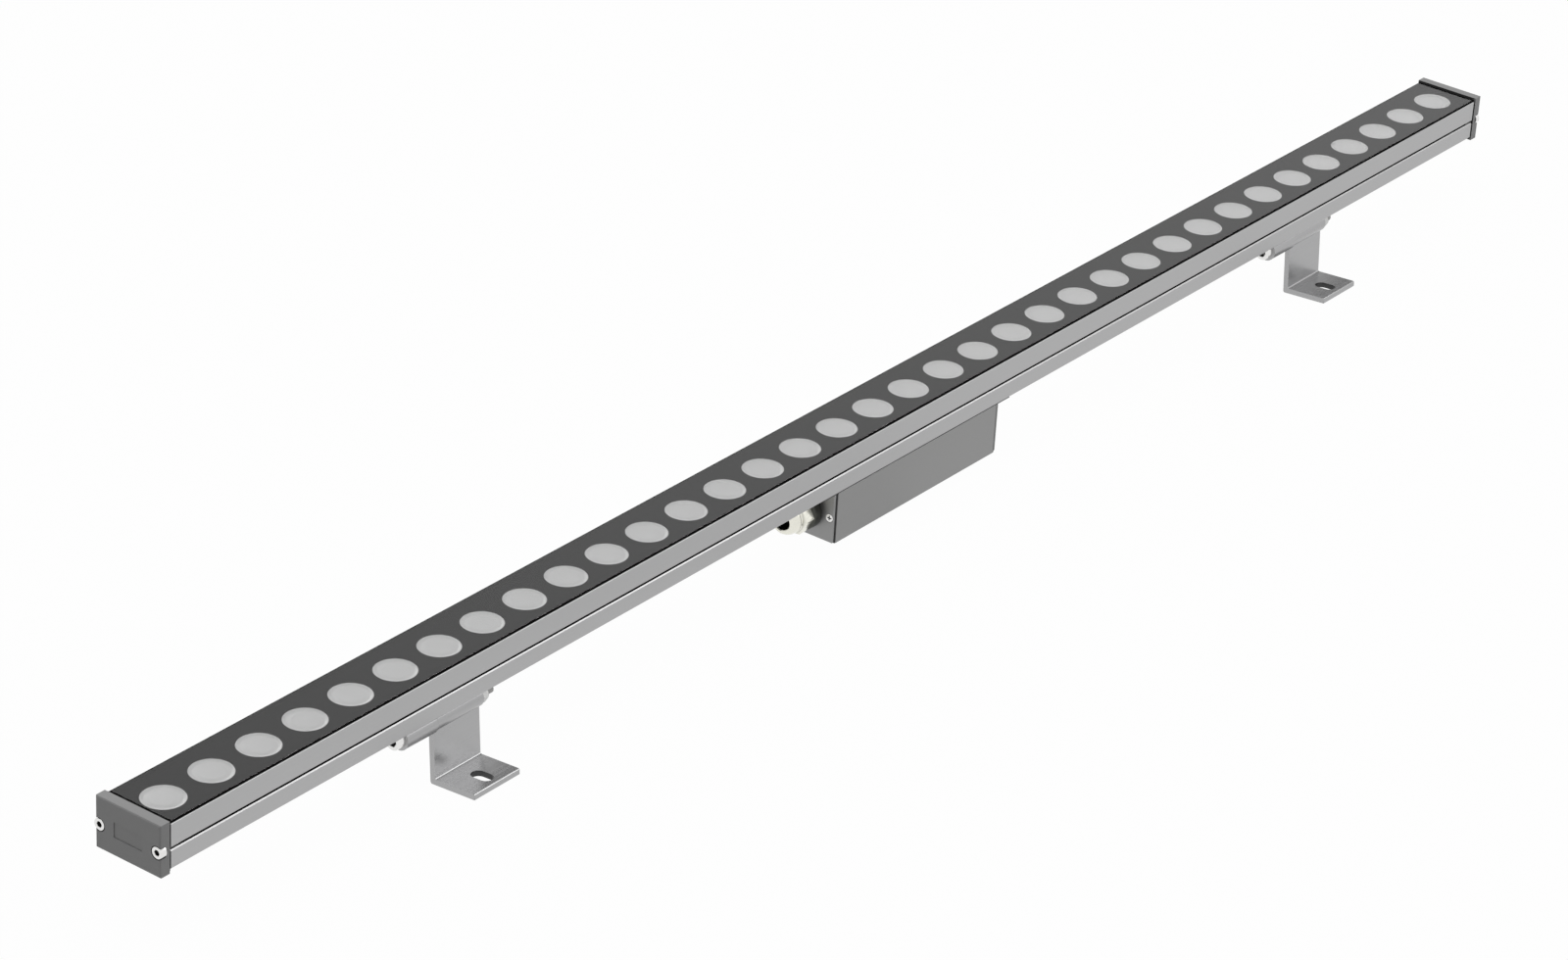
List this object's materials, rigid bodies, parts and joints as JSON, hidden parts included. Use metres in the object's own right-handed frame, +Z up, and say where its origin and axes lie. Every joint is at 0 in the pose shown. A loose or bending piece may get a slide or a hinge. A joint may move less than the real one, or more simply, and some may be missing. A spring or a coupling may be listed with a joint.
{
  "type": "wall washer light",
  "caption": "Slim linear wall washer: a glass-faced aluminium bar of round lenses that tilts on bolted hinge feet, with a driver box and an open cable gland beneath.",
  "frame": {"origin": "on the fixing surface under the hinge axis, midway along the lamp", "axes": "+X along the lamp, away from the gland's end; -Y the side the feet's toes point to; +Z up from the fixing surface"},
  "size_m": [1.0026, 0.0529, 0.0586],
  "materials": {
    "anodised_aluminium": "fine satin anodised extrusion",
    "hinge_aluminium": "satin anodised",
    "box_aluminium": "satin anodised, a little darker",
    "cap_paint": "fine matt grey paint over cast metal",
    "face_glass": "clear toughened glass, polished",
    "seal_rubber": "black silicone",
    "black_mask": "matt black",
    "lens_plastic": "pale translucent optical plastic",
    "white_board": "white solder mask",
    "led_package": "pale ceramic with a yellow dome",
    "screw_steel": "bright stainless steel",
    "dark_plate": "dark grey sheet metal",
    "green_board": "green solder mask",
    "component_plastic": "black moulded cases",
    "gland_dark": "dark grey satin metal",
    "gland_nickel": "nickel plated brass",
    "lead_red": "silicone insulation"
  },
  "bodies": {
    "near_foot": {"foot_left": "hinge_aluminium"},
    "lamp": {"housing": "anodised_aluminium", "face_glass": "face_glass", "glass_seal": "seal_rubber", "mask_plate": "black_mask", "lenses": "lens_plastic", "led_board": "white_board", "led_chips": "led_package", "board_screws": "screw_steel", "end_cap_left": "cap_paint", "end_cap_right": "cap_paint", "end_gasket_left": "seal_rubber", "end_gasket_right": "seal_rubber", "end_cap_screws": "screw_steel", "hinge_leaf_left": "hinge_aluminium", "hinge_leaf_right": "hinge_aluminium", "leaf_screws": "screw_steel", "leaf_nuts": "screw_steel", "hinge_bolts": "screw_steel", "hinge_washers": "screw_steel", "hinge_nuts": "screw_steel", "mounting_plate": "dark_plate", "tab_screws": "screw_steel", "tab_nuts": "screw_steel", "joining_screws": "screw_steel", "driver_shell": "box_aluminium", "driver_plate_left": "box_aluminium", "driver_plate_right": "box_aluminium", "driver_gaskets": "seal_rubber", "driver_screws": "screw_steel", "driver_board": "green_board", "driver_board_screws": "screw_steel", "driver_parts": "component_plastic", "gland_body": "gland_dark", "gland_seal": "seal_rubber", "gland_cap_nut": "gland_nickel", "gland_lock_nut": "gland_nickel", "wire_grommet": "seal_rubber", "supply_leads": "lead_red"},
    "far_foot": {"foot_right": "hinge_aluminium"}
  },
  "joints": [
    {"name": "lamp_tilt", "type": "hinge", "parent": "near_foot", "child": "lamp", "pos_m": [0, 0, 0.0299], "axis": [1, 0, 0], "range_deg": [-19, 84]},
    {"name": "far_foot_hinge", "type": "hinge", "parent": "lamp", "child": "far_foot", "pos_m": [0, 0, 0.0299], "axis": [1, 0, 0], "range_deg": [-84, 19]}
  ],
  "couplings": [
    {"joint": "far_foot_hinge", "follows": "lamp_tilt", "ratio": -1}
  ]
}
